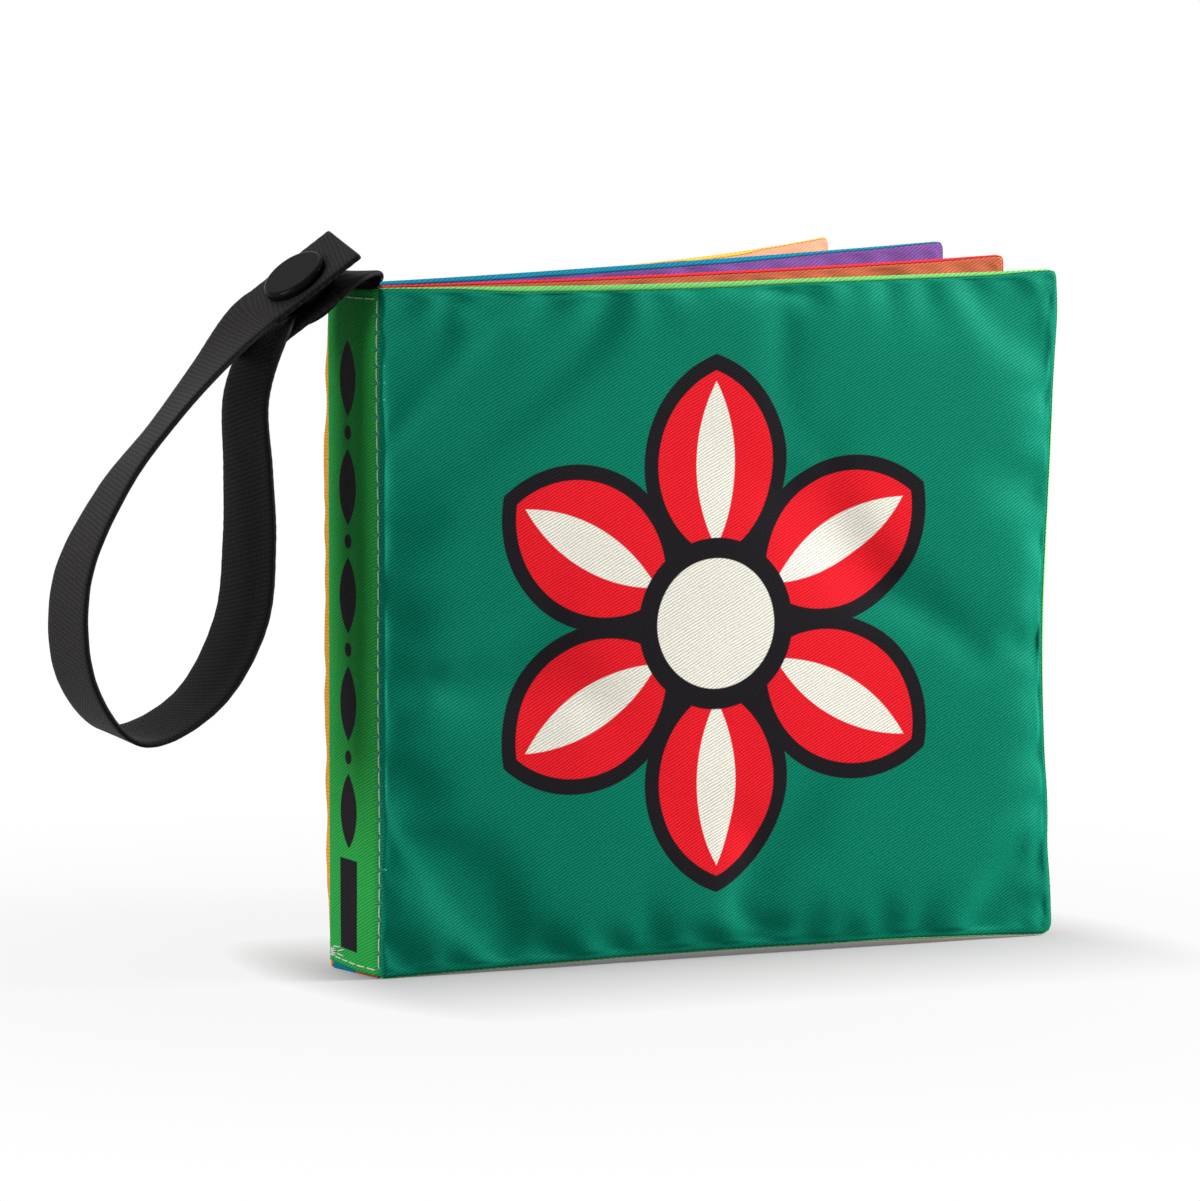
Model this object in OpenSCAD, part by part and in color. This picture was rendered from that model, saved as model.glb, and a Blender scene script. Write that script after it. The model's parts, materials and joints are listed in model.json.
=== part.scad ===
// Soft cloth picture book with a webbing loop and a snap, standing fanned on its bottom edges.
// Millimetres. The origin is on the floor at the foot of the spine, between the two hinge lines.
// +X runs from the spine to the fore edges, +Y from the front cover to the back cover, +Z is up.

/* [Book] */
// Height of the spine strip and the covers beside it
book_h = 126.5; // [90:0.5:200]
// Length of a cover from its hinge line to its fore edge
cover_l = 140; // [100:1:220]
// Width of the spine between the two hinge lines
spine_w = 18.2; // [17.8:0.1:40]
// How much shorter a leaf is than a cover
leaf_short = 2; // [0:0.5:10]

/* [Padded panels] */
// Thickness of a padded panel in its middle
pad_t = 2.4; // [1.2:0.1:2.6]
// Thickness of a panel at its sewn edges
edge_t = 1.0; // [0.6:0.1:1.1]
// Width of the slope from a sewn edge up to the flat middle
pad_slope = 12; // [6:0.5:20]
// Width of the slope beside the spine on the outside of a cover
root_slope_out = 16; // [8:0.5:30]
// Width of the slope beside the spine on all other faces
root_slope_in = 25; // [20:0.5:40]
// Radius of a panel's two outer corners
corner_r = 3; // [1:0.5:10]
// Height of the small puckers along the seams
pucker = 0.12; // [0:0.01:0.15]
// How far the lining rolls over the top and fore edges of the front cover
lining_roll = 1.1; // [0:0.1:2]

/* [How the book stands] */
// Angle of the front cover from the spine's outward line
front_open = -6.2; // [-40:0.1:-4]
// Angle of the front leaf
front_leaf_open = 0.3; // [-1:0.1:2]
// Angle of the back leaf
back_leaf_open = 2.4; // [1:0.1:5]
// Angle of the back cover
back_open = 16; // [9:0.1:60]
// Sag of the top edges in their middle
top_sag = 1.3; // [0:0.1:3]
// Arch under the bottom edge of a cover
foot_arch = 1.2; // [0:0.1:3]
// How far the fore edge of a cover draws in below its middle
fore_draw = 2.8; // [0:0.1:5]
// How far the front leaf climbs at its fore edge
front_leaf_rise = 2.0; // [0:0.1:5]
// How far the back leaf climbs at its fore edge
back_leaf_rise = 4.0; // [0:0.1:6]
// How far the top corner of the back cover climbs
back_rise = 4.1; // [0:0.1:6]

/* [Spine] */
// Thickness of the spine strip at its two stitched edges
strip_t = 0.5; // [0.3:0.1:1.5]
// How far the strip bulges outward between its edges
strip_bulge = 0.8; // [0.2:0.1:2]
// How high the strip ends above the floor, where the fold of the inner sheet shows
strip_foot = 0.9; // [0:0.1:3]
// Thickness of the inner sheet where it lies behind the strip
fold_t = 1.7; // [1.5:0.1:3]
// Distance from a hinge line to the strip and to the fold
hinge_gap = 0.9; // [0.7:0.1:1.5]
// How much lower than the strip the fold ends at the top
fold_low = 0.4; // [0:0.1:2]

/* [Webbing and snap] */
// Width of the webbing
strap_w = 16; // [14:0.5:16.2]
// Thickness of the webbing
strap_t = 1.1; // [0.8:0.1:1.3]
// Length of webbing that is sewn inside the spine
strap_sewn = 10; // [6:0.5:20]
// Length of the free end beyond the middle of the snap
strap_tail = 11; // [8:0.5:20]
// Radius of the snap's cap and of its back cap
cap_r = 6.2; // [4.5:0.1:7]
// Thickness of each cap
cap_t = 1.6; // [1:0.1:2.5]
// Radius of the post that joins a cap to its half of the snap
post_r = 1.0; // [0.6:0.1:1.5]
// Radius of the socket and of the stud plate
snap_r = 5.4; // [4:0.1:6]
// Thickness of the socket
socket_t = 1.85; // [1.5:0.05:2.5]
// Thickness of the stud plate
stud_t = 0.9; // [0.6:0.05:1.5]
// Radius of the stud that clicks into the socket
stud_r = 2.1; // [1.6:0.1:2.8]
// Height of the stud above its plate
stud_h = 1.1; // [0.8:0.05:1.3]

/* [Printed shapes] */
// Thickness of a printed field
print_t = 0.2; // [0.1:0.05:0.4]
// Clear cloth between the rosette and the slope of the cover's edge
print_gap = 1; // [0:0.5:20]
// Width of the black outlines
line_w = 3.2; // [1:0.1:5]
// Width of a leaf shape on the spine
spine_leaf_w = 6.4; // [3:0.1:9]
// Length of a leaf shape on the spine
spine_leaf_l = 14; // [8:0.5:18]
// Height of the plain bar at the foot of the spine
bar_h = 17; // [8:0.5:20]

/* [Hidden] */
fit = 0.05;                        // clearance of a post in its hole and between the two snap halves
n_edge = 20;                       // points along a long edge
n_side = 16;                       // points along the spine edge and the fore edge
n_corner = 3;                      // points round an outer corner
n_ring = 2 * (n_edge + n_side + n_corner);
strap_steps = 3;                   // rings of webbing between two points of its route
petals = 6;
$fn = 64;

hinge_y = spine_w / 2;
strip_y = hinge_y - hinge_gap;     // half width of the strip and of the fold
strip_in = -0.5;                   // inner face of the strip, where the fold begins
leaf_root = strip_y - edge_t / 2 - 0.1;
leaf_l = cover_l - leaf_short;
strap_x = strip_in + fit + strap_t / 2;

// The snap: its place on the webbing, and the lie of the webbing there
snap_at = [-10.3, -1, book_h - 1.5];
snap_az = -19;
snap_el = 37;
snap_roll = 5.4;
snap_t = [cos(snap_el) * cos(snap_az), cos(snap_el) * sin(snap_az), sin(snap_el)];
snap_w = width_dir(snap_t, snap_roll);
snap_n = cross(snap_w, snap_t);
half_gap = strap_t / 2 + fit;      // from the middle of the webbing to the plastic on it
layer_gap = 2 * half_gap + stud_t + socket_t + fit;
snap_up = snap_at + layer_gap * snap_n;

// The webbing's route from the spine, through the lower half of the snap, round the loop and back.
// Each point has its place, with its height counted from the top of the spine, and the turn of the
// webbing about its own length. Beside the snap the webbing runs straight.
flat_step = (cap_r + 0.4) / 2;
rise_from_spine = [[strap_x, 0, -strap_sewn, 0], [strap_x, 0, -4, 0], [strap_x, 0, 0, 0],
                   [-0.9, -0.2, 1.8, 0], [-2.7, -0.9, 2.7, -2]];
loop = [[-19, 0.4, -8.9, 0], [-22.8, 0.3, -19.5, 0], [-22.6, 0, -32.5, -3], [-22.5, -0.2, -45.5, -6],
        [-24.6, -0.4, -60.5, -6.5], [-34, -0.3, -74.5, -4], [-48.6, 0, -79.7, -6],
        [-57.8, 0.2, -69.5, -3], [-58.8, 0.3, -51.5, -5], [-50.2, 0.3, -35, -10],
        [-39.4, 0.3, -23, -13], [-29, 0.8, -12.5, -6]];
route = concat(
    from_top(rise_from_spine),
    [for (k = [2 : -1 : -3]) on_snap(snap_at, k * flat_step, -snap_roll)],
    from_top(loop),
    [for (k = [-3 : 2]) on_snap(snap_up, k * flat_step, snap_roll)],
    [on_snap(snap_up, strap_tail, snap_roll)]);

front_cover_face();
front_cover_lining();
front_print_black();
front_print_red();
front_print_cream();
spine_strip();
spine_print();
pages();
back_cover_lining();
back_cover_face();
strap();
snap_cap();
snap_socket();
snap_stud();
snap_back_cap();

// Small helpers
function mix(a, b, t) = a + (b - a) * t;
function unit(v) = v / norm(v);
function width_dir(t, turn) =
    let (side = [0, -1, 0], w = unit(side - (t * side) * t), n = cross(t, w))
    w * cos(turn) + n * sin(turn);
function on_snap(p, d, turn) = let (q = p + d * snap_t) [q[0], q[1], q[2], turn];
function from_top(points) = [for (p = points) p + [0, 0, book_h, 0]];

// A padded panel is described by
// [length, foot, top, climb, power, lift, sag, arch, draw, seed]
// where climb raises the top edge towards the fore edge, power shapes that climb, and lift is the
// part of it that the bottom edge follows.
front_face = [cover_l - 0.3, 0, book_h, 0.4, 1.5, 0, top_sag, foot_arch, fore_draw, 1];
front_lining = [cover_l, 0, book_h + 0.35, 0.1, 1.5, 0, top_sag - lining_roll, foot_arch,
                max(0, fore_draw - lining_roll / 2), 2];
front_leaf = [leaf_l, 0.3, book_h + 0.7, front_leaf_rise, 2.2, 0.5, 0, 0.3, 1, 3];
back_leaf = [leaf_l, 0.3, book_h + 0.4, back_leaf_rise, 1.3, 0.6, 0, 0.3, 1, 4];
back_lining = [cover_l - 0.3, 0, book_h - 0.2, back_rise, 3, 0, 0.2, foot_arch / 3, 1.2, 5];
back_face = [cover_l, 0, book_h, back_rise, 3, 0, 0.1, foot_arch / 3, 1, 6];

function share(sp, u) = max(0, min(1, u / sp[0]));
function high(sp, u) = sp[2] + sp[3] * pow(share(sp, u), sp[4]) - sp[6] * sin(180 * share(sp, u));
function low(sp, u) =
    sp[1] + sp[5] * sp[3] * pow(share(sp, u), sp[4]) + sp[7] * sin(180 * share(sp, u));
function draw_in(sp, z) = sp[8] * exp(-pow((z / book_h - 0.42) / 0.32, 2));

// One closed ring of a panel, inset by a at the spine and by b at its other edges
function ring(sp, root, a, b) =
    let (r = corner_r + 0.3 * b, u0 = root + a, u1 = sp[0] - b - r,
         z0 = low(sp, u1) + b + r, z1 = high(sp, u1) - b - r)
    concat(
        [for (i = [0 : n_edge - 1]) let (u = mix(u0, u1, i / n_edge)) [u, low(sp, u) + b]],
        [for (i = [0 : n_corner - 1]) let (q = 90 * i / n_corner, z = z0 - r * cos(q))
            [u1 + (r - draw_in(sp, z)) * sin(q), z]],
        [for (i = [0 : n_side - 1]) let (z = mix(z0, z1, i / n_side)) [u1 + r - draw_in(sp, z), z]],
        [for (i = [0 : n_corner - 1]) let (q = 90 * i / n_corner, z = z1 + r * sin(q))
            [u1 + (r - draw_in(sp, z)) * cos(q), z]],
        [for (i = [0 : n_edge - 1]) let (u = mix(u1, u0, i / n_edge)) [u, high(sp, u) - b]],
        [for (i = [0 : n_side - 1])
            [u0, mix(high(sp, u0) - b, low(sp, u0) + b, i / n_side)]]);

// Rings of one face of a panel: [inset at the spine, inset elsewhere, height of the face, puckers]
function face_levels(root_slope) = [
    [0.3, 0.3, edge_t * 0.4, 0],
    [root_slope * 0.2, pad_slope * 0.2, mix(edge_t, pad_t, 0.2) / 2, 0.7 * pucker],
    [root_slope * 0.55, pad_slope * 0.55, mix(edge_t, pad_t, 0.72) / 2, pucker],
    [root_slope, pad_slope, pad_t / 2, 0]];
function gather(i, seed) =
    i > n_ring - n_side ? 0
    : 0.6 * sin(360 * i * 7 / n_ring + 50 * seed) + 0.4 * sin(360 * i * 13 / n_ring + 90 * seed);
function face_rings(sp, root, root_slope, side) = [
    for (level = face_levels(root_slope))
        let (pts = ring(sp, root, level[0], level[1]))
        [for (i = [0 : n_ring - 1])
            [pts[i][0], side * (level[2] + level[3] * gather(i, sp[9])), pts[i][1]]]];
function edge_ring(sp, root) = [for (p = ring(sp, root, 0, 0)) [p[0], 0, p[1]]];

// A closed skin over a stack of rings. Each end ring is closed by triangles round its centre.
// Opposite sides are cut along like diagonals, so that a twisted band keeps one thickness.
function centre(r) = [for (k = [0 : 2]) vsum([for (p = r) p[k]]) / len(r)];
function vsum(v) = v * [for (x = v) 1];
module skin(rings, flip) {
    n = len(rings[0]);
    last = len(rings) - 1;
    first_c = n * len(rings);
    last_c = first_c + 1;
    sides = [for (k = [0 : last - 1]) for (i = [0 : n - 1])
        let (j = (i + 1) % n, a = k * n + i, b = a + n, c = (k + 1) * n + j, d = k * n + j)
        each i < n / 2 ? [[a, b, c], [a, c, d]] : [[a, b, d], [b, c, d]]];
    caps = [for (i = [0 : n - 1]) let (j = (i + 1) % n)
        each [[first_c, i, j], [last_c, last * n + j, last * n + i]]];
    faces = concat(sides, caps);
    polyhedron(concat([for (r = rings) for (p = r) p], [centre(rings[0]), centre(rings[last])]),
               flip ? [for (f = faces) [f[2], f[1], f[0]]] : faces, 4);
}

// One half of a cover, from the middle plane out to one face
module half_panel(sp, root_slope, side) {
    skin(concat([edge_ring(sp, 0)], face_rings(sp, 0, root_slope, side)), side > 0);
}

// A whole leaf, with its two faces
module leaf(sp) {
    front = face_rings(sp, -0.3, root_slope_in, -1);
    back = face_rings(sp, -0.3, root_slope_in, 1);
    skin([back[3], back[2], back[1], back[0], edge_ring(sp, -0.3),
          front[0], front[1], front[2], front[3]], false);
}

module on_front_cover() translate([0, -hinge_y, 0]) rotate([0, 0, front_open]) children();
module on_back_cover() translate([0, hinge_y, 0]) rotate([0, 0, back_open]) children();

module front_cover_face() color("#008560") on_front_cover() half_panel(front_face, root_slope_out, -1);
module front_cover_lining() color("#7cc95a") on_front_cover() half_panel(front_lining, root_slope_in, 1);
module back_cover_lining() color("#eb9a62") on_back_cover() half_panel(back_lining, root_slope_in, -1);
module back_cover_face() color("#eba32c") on_back_cover() half_panel(back_face, root_slope_out, 1);

// The inner sheet: two leaves and the fold between them behind the spine strip
module pages() color("#c8342f") {
    difference() {
        union() {
            translate([strip_in, -strip_y, 0]) cube([fold_t, 2 * strip_y, book_h - fold_low]);
            translate([strip_in + fold_t - 0.3, -leaf_root, 0]) rotate([0, 0, front_leaf_open])
                leaf(front_leaf);
            translate([strip_in + fold_t - 0.3, leaf_root, 0]) rotate([0, 0, back_leaf_open])
                leaf(back_leaf);
        }
        strap_pocket();
    }
}

// Room in the fold for the sewn end of the webbing, up through the top of the fold
module strap_pocket() {
    over = 1;
    translate([strip_in - over, -strap_w / 2 - fit, book_h - strap_sewn - fit])
        cube([over + strap_t + 4 * fit, strap_w + 2 * fit, strap_sewn + over]);
}

// The spine strip, a shallow arc across with two thin stitched edges
strip_r = (strip_y * strip_y + strip_bulge * strip_bulge) / (2 * strip_bulge);
strip_mid = strip_in - strip_t - strip_bulge + strip_r;
module strip_arc(r, h) translate([strip_mid, 0, 0]) cylinder(r = r, h = h, $fn = 360);
module spine_strip() color("#3fae3a") {
    translate([0, 0, strip_foot]) intersection() {
        strip_arc(strip_r, book_h - strip_foot);
        translate([strip_in - 10, -strip_y, -1]) cube([10, 2 * strip_y, book_h + 2]);
    }
}

// Printed shapes. A leaf shape is where two equal discs overlap.
module lens(half_l, half_w, grow) {
    r = (half_l * half_l + half_w * half_w) / (2 * half_w);
    intersection() {
        translate([0, r - half_w]) circle(r + grow, $fn = 120);
        translate([0, half_w - r]) circle(r + grow, $fn = 120);
    }
}
print_r = min(book_h / 2 - pad_slope - print_gap,
              (cover_l - root_slope_out - pad_slope) / 2 - print_gap);
print_at = [root_slope_out + print_gap + print_r, (book_h - 1) / 2];
eye_r = print_r * 0.24;
petal_l = print_r - eye_r - line_w;   // the inner tips lie under the middle disc's outline
module rosette_petals(half_w, grow) {
    for (i = [0 : petals - 1]) rotate(i * 360 / petals + 90)
        translate([print_r - line_w - petal_l / 2, 0]) lens(petal_l / 2, half_w, grow);
}
petal_w = petal_l * 0.34;
module petal_fields() {
    difference() {
        rosette_petals(petal_w, 0);
        circle(eye_r + line_w);
    }
}
module rosette_hearts() rosette_petals(petal_w * 0.42, -1);
module rosette_red() {
    difference() {
        petal_fields();
        rosette_hearts();
    }
}
module rosette_cream() {
    circle(eye_r);
    difference() {
        rosette_hearts();
        circle(eye_r + line_w);
    }
}
module rosette_black() {
    difference() {
        union() {
            rosette_petals(petal_w, line_w * 0.9);
            circle(eye_r + line_w);
        }
        petal_fields();
        circle(eye_r);
    }
}
module printed_on_front() {
    on_front_cover() translate([print_at[0], -pad_t / 2, print_at[1]]) rotate([90, 0, 0])
        linear_extrude(print_t) children();
}
module front_print_black() color("#1c1a1a") printed_on_front() rosette_black();
module front_print_red() color("#d3201f") printed_on_front() rosette_red();
module front_print_cream() color("#efe8d2") printed_on_front() rosette_cream();

// A plain ornament down the spine: leaf shapes, dots and a bare bar at the foot
leaf_step = spine_leaf_l + 6;
bar_low = strip_foot + 3;
leaf_low = bar_low + bar_h + 2 + spine_leaf_l / 2;
leaf_n = floor((book_h - 6 - spine_leaf_l / 2 - leaf_low) / leaf_step);
module spine_shapes() {
    translate([-spine_leaf_w / 2, bar_low]) square([spine_leaf_w, bar_h]);
    for (i = [0 : leaf_n]) translate([0, leaf_low + i * leaf_step]) {
        rotate(90) lens(spine_leaf_l / 2, spine_leaf_w / 2, 0);
        if (i < leaf_n) translate([0, leaf_step / 2]) circle(1.3);
    }
}
module spine_print() color("#1c1a1a") {
    intersection() {
        difference() {
            strip_arc(strip_r + print_t, book_h);
            translate([0, 0, -1]) strip_arc(strip_r, book_h + 2);
        }
        rotate([90, 0, -90]) linear_extrude(10) spine_shapes();
    }
}

// Points and twist along the webbing by a curve through its route
function curve(a, b, c, d, t) =
    0.5 * (2 * b + (c - a) * t + (2 * a - 5 * b + 4 * c - d) * t * t
           + (3 * b - 3 * c + d - a) * t * t * t);
route_n = len(route);
line = concat(
    [for (i = [0 : route_n - 2]) for (k = [0 : strap_steps - 1])
        curve(i > 0 ? route[i - 1] : 2 * route[0] - route[1], route[i], route[i + 1],
              i < route_n - 2 ? route[i + 2] : 2 * route[i + 1] - route[i], k / strap_steps)],
    [route[route_n - 1]]);
function place(p) = [p[0], p[1], p[2]];
function heading(i) = unit(place(line[min(i + 1, len(line) - 1)]) - place(line[max(i - 1, 0)]));
strap_rings = [for (i = [0 : len(line) - 1])
    let (t = heading(i), w = width_dir(t, line[i][3]) * strap_w / 2,
         n = cross(t, unit(w)) * strap_t / 2, p = place(line[i]))
    [p - w - n, p + w - n, p + w + n, p - w + n]];
module strap() color("#262324") {
    difference() {
        skin(strap_rings, false);
        on_snap_axis(-strap_t) cylinder(r = post_r + fit, h = 2 * strap_t);
        on_snap_axis(layer_gap - strap_t) cylinder(r = post_r + fit, h = 2 * strap_t);
    }
}

// The snap's four pieces, turned round one axis through both layers of webbing.
// Heights are counted from the middle of the lower layer.
module on_snap_axis(h) {
    translate(snap_at) rotate([0, acos(snap_n[2]), atan2(snap_n[1], snap_n[0])])
        translate([0, 0, h]) children();
}
post_l = 2 * half_gap;             // the part of a post that lies in the webbing
module dome(r, t) {
    edge = t * 0.55;
    rotate_extrude() intersection() {
        union() {
            square([r - edge, t]);
            square([r, t - edge]);
            translate([r - edge, t - edge]) circle(edge);
        }
        square([r, t]);
    }
}
module snap_cap() color("#151416") {
    on_snap_axis(layer_gap + half_gap) {
        dome(cap_r, cap_t);
        translate([0, 0, -post_l - (socket_t - stud_h) + fit])
            cylinder(r = post_r, h = post_l + socket_t - stud_h);
    }
}
module snap_back_cap() color("#151416") {
    on_snap_axis(-half_gap) {
        mirror([0, 0, 1]) dome(cap_r, cap_t);
        cylinder(r = post_r, h = post_l + stud_t + stud_h * 0.6);
    }
}
module snap_stud() color("#1b1a1c") {
    on_snap_axis(half_gap) difference() {
        union() {
            cylinder(r = snap_r, h = stud_t);
            cylinder(r = stud_r, h = stud_t + stud_h);
        }
        translate([0, 0, -1]) cylinder(r = post_r + fit, h = stud_t + stud_h + 2);
    }
}
module snap_socket() color("#1b1a1c") {
    on_snap_axis(half_gap + stud_t + fit) difference() {
        cylinder(r = snap_r, h = socket_t);
        translate([0, 0, -1]) cylinder(r = stud_r + fit, h = 1 + stud_h + fit);
        cylinder(r = post_r + fit, h = socket_t + 1);
    }
}
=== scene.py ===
"""Looks of the cloth stroller book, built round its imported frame. Sizes below are millimetres."""
import json
import math

import bpy
import numpy as np
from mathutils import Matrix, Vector, noise


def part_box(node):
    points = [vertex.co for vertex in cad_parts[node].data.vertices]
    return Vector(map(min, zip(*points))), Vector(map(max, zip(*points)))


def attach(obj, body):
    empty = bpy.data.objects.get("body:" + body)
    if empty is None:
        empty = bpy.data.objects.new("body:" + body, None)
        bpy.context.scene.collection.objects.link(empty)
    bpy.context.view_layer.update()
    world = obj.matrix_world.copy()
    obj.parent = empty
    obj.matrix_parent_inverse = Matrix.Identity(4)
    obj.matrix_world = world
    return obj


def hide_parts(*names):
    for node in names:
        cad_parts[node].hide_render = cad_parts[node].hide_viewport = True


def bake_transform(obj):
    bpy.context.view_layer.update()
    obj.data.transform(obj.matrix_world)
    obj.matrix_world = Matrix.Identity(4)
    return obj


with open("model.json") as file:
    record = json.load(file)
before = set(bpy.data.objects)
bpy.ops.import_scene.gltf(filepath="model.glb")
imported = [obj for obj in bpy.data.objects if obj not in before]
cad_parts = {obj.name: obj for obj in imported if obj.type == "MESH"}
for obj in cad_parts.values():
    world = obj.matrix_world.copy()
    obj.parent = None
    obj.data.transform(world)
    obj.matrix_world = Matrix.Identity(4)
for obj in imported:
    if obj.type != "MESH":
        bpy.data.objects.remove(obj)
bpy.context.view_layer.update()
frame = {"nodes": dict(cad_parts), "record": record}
MM = 0.001

# Sizes read from the frame
slots = {m["slot"]: m["base_color"][:3] for m in frame["record"]["materials"]}
joints = {j["name"]: j for j in frame["record"]["behaviour"]["joints"]}
hinge_y = joints["back_cover_hinge"]["pos_m"][1] / MM


def node_box(name):
    """Lowest and highest corner of a node in millimetres."""
    low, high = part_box(name)
    return np.array(low) / MM, np.array(high) / MM


strip_low, strip_high = node_box("spine_strip")
book_h = strip_high[2]
strip_y = strip_high[1]
strip_in = strip_high[0]
strip_out = strip_low[0]
strap_w = 16
strap_t = 1.1

# Colours of the cloths and threads
TEAL = (0.001, 0.185, 0.112)
LIME = (0.14, 0.46, 0.12)
GREEN = (0.025, 0.33, 0.06)
PEACH = (0.52, 0.23, 0.135)
MUSTARD = (0.75, 0.35, 0.045)
BROWN = (0.40, 0.095, 0.042)
RED = (0.66, 0.022, 0.032)
PURPLE = (0.14, 0.055, 0.22)
BLUE = (0.003, 0.17, 0.27)
PRINT_BLACK = (0.011, 0.0095, 0.012)
PRINT_RED = (0.80, 0.012, 0.022)
PRINT_CREAM = (0.84, 0.81, 0.71)
THREAD = (0.62, 0.72, 0.62)
TEAL_THREAD = (0.01, 0.30, 0.24)


# Camera, at the photograph's viewing angle
AZIMUTH, ELEVATION, DISTANCE = -31.7, 5.4, 1474.25
AIM_RIGHT, AIM_UP = 44.72, 68.66
LENS, SENSOR = 240, 36


def make_camera():
    a, e = math.radians(AZIMUTH), math.radians(ELEVATION)
    back = Vector((math.sin(a) * math.cos(e), -math.cos(a) * math.cos(e), math.sin(e)))
    right = Vector((math.cos(a), math.sin(a), 0))
    up = back.cross(right)
    camera = bpy.data.objects.new("camera", bpy.data.cameras.new("camera"))
    bpy.context.scene.collection.objects.link(camera)
    camera.data.lens = LENS
    camera.data.sensor_width = SENSOR
    camera.data.sensor_fit = "HORIZONTAL"
    camera.data.clip_start, camera.data.clip_end = 0.1, 20
    camera.location = (back * DISTANCE + right * AIM_RIGHT + up * AIM_UP) * MM
    camera.rotation_mode = "QUATERNION"
    camera.rotation_quaternion = (-back).to_track_quat("-Z", "Y")
    bpy.context.scene.camera = camera


# Node graphs
class Graph:
    """A material and short calls that add nodes to it."""

    def __init__(self, name):
        self.material = bpy.data.materials.new(name)
        self.material.use_nodes = True
        self.tree = self.material.node_tree
        self.tree.nodes.clear()
        self.shader = self.add("ShaderNodeBsdfPrincipled")
        out = self.add("ShaderNodeOutputMaterial")
        self.tree.links.new(self.shader.outputs[0], out.inputs["Surface"])

    def add(self, kind):
        return self.tree.nodes.new(kind)

    def put(self, socket, value):
        """Links an output to a socket, or sets a plain value on it."""
        if isinstance(value, bpy.types.NodeSocket):
            self.tree.links.new(value, socket)
        elif isinstance(value, (tuple, list)) and socket.type == "RGBA":
            socket.default_value = (*value[:3], 1)
        else:
            socket.default_value = value

    def math(self, operation, *values):
        node = self.add("ShaderNodeMath")
        node.operation = operation
        for socket, value in zip(node.inputs, values):
            self.put(socket, value)
        return node.outputs[0]

    def split(self, vector):
        node = self.add("ShaderNodeSeparateXYZ")
        self.put(node.inputs[0], vector)
        return node.outputs

    def join(self, x, y, z=0.0):
        node = self.add("ShaderNodeCombineXYZ")
        for socket, value in zip(node.inputs, (x, y, z)):
            self.put(socket, value)
        return node.outputs[0]

    def attribute(self, name):
        node = self.add("ShaderNodeAttribute")
        node.attribute_name = name
        return node.outputs["Vector"]

    def position(self):
        """The place in the object's own frame, in millimetres."""
        node = self.add("ShaderNodeVectorMath")
        node.operation = "SCALE"
        self.put(node.inputs[0], self.add("ShaderNodeTexCoord").outputs["Object"])
        node.inputs["Scale"].default_value = 1 / MM
        return node.outputs[0]

    def noise(self, vector, scale, detail=2.0, roughness=0.5):
        node = self.add("ShaderNodeTexNoise")
        self.put(node.inputs["Vector"], vector)
        node.inputs["Scale"].default_value = scale
        node.inputs["Detail"].default_value = detail
        node.inputs["Roughness"].default_value = roughness
        return node.outputs["Fac"]

    def span(self, value, low, high, out_low=0.0, out_high=1.0, smooth=False):
        node = self.add("ShaderNodeMapRange")
        if smooth:
            node.interpolation_type = "SMOOTHSTEP"
        for socket, v in zip(node.inputs, (value, low, high, out_low, out_high)):
            self.put(socket, v)
        return node.outputs[0]

    def mix(self, factor, a, b):
        node = self.add("ShaderNodeMix")
        node.data_type = "RGBA"
        node.clamp_factor = True
        self.put(node.inputs[0], factor)
        self.put(node.inputs[6], a)
        self.put(node.inputs[7], b)
        return node.outputs[2]

    def shade(self, colour, factor):
        """A colour made lighter or darker by a number."""
        node = self.add("ShaderNodeVectorMath")
        node.operation = "SCALE"
        self.put(node.inputs[0], colour)
        self.put(node.inputs["Scale"], factor)
        return node.outputs[0]

    def bump(self, height, distance, strength=1.0):
        node = self.add("ShaderNodeBump")
        node.inputs["Distance"].default_value = distance * MM
        node.inputs["Strength"].default_value = strength
        self.put(node.inputs["Height"], height)
        return node.outputs[0]


# The twill's ridges and the yarns that cross them: pitch in millimetres, and slope in degrees
TWILL_PITCH, TWILL_ANGLE = 0.54, 27.5
CROSS_PITCH, CROSS_ANGLE = 0.44, -47


def stripes(g, u, z, pitch, angle, wander):
    """A soft wave from 0 to 1 across parallel lines, which stray a little from straight."""
    c, s = math.cos(math.radians(angle)), math.sin(math.radians(angle))
    across = g.math("SUBTRACT", g.math("MULTIPLY", z, c), g.math("MULTIPLY", u, s))
    across = g.math("ADD", across, wander)
    return g.span(g.math("SINE", g.math("MULTIPLY", across, 2 * math.pi / pitch)), -1, 1)


def cloth_material(name, colour, paint=None, contrast=0.36):
    """Printed twill, its weave painted into the colour: partly the yarns' pattern, partly painted shade in
    its valleys. paint(graph, u, z, colour) may draw on it and return the painted colour.
    """
    g = Graph(name)
    u, z, _ = g.split(g.attribute("cloth"))
    stray = g.math("MULTIPLY", g.noise(g.join(u, z), 0.12, 3), 0.9)
    ridge = stripes(g, u, z, TWILL_PITCH, TWILL_ANGLE, stray)
    cross = stripes(g, u, z, CROSS_PITCH, CROSS_ANGLE, stray)
    yarn = g.noise(g.join(u, z), 1.7, 2, 0.65)
    weave = g.math("ADD", g.math("MULTIPLY", ridge, 0.6), g.math("MULTIPLY", cross, 0.22))
    weave = g.math("ADD", weave, g.math("MULTIPLY", g.span(yarn, 0.3, 0.7), 0.18))
    patches = g.noise(g.join(u, z), 0.035, 3, 0.55)
    painted = paint(g, u, z, colour) if paint else colour
    # the weave's valleys painted darker: partly the yarns' pattern, partly painted shade
    light = g.span(weave, 0.1, 0.9, 1 - contrast, 1 + contrast)
    light = g.math("MULTIPLY", light, g.span(patches, 0.3, 0.7, 0.95, 1.05))
    g.put(g.shader.inputs["Base Color"], g.shade(painted, light))
    g.put(g.shader.inputs["Roughness"], g.span(weave, 0.1, 0.9, 0.8, 0.58))
    g.shader.inputs["Specular IOR Level"].default_value = 0.2
    g.shader.inputs["IOR"].default_value = 1.2
    g.put(g.shader.inputs["Normal"], g.bump(weave, 0.08, 0.8))
    return g.material


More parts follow.
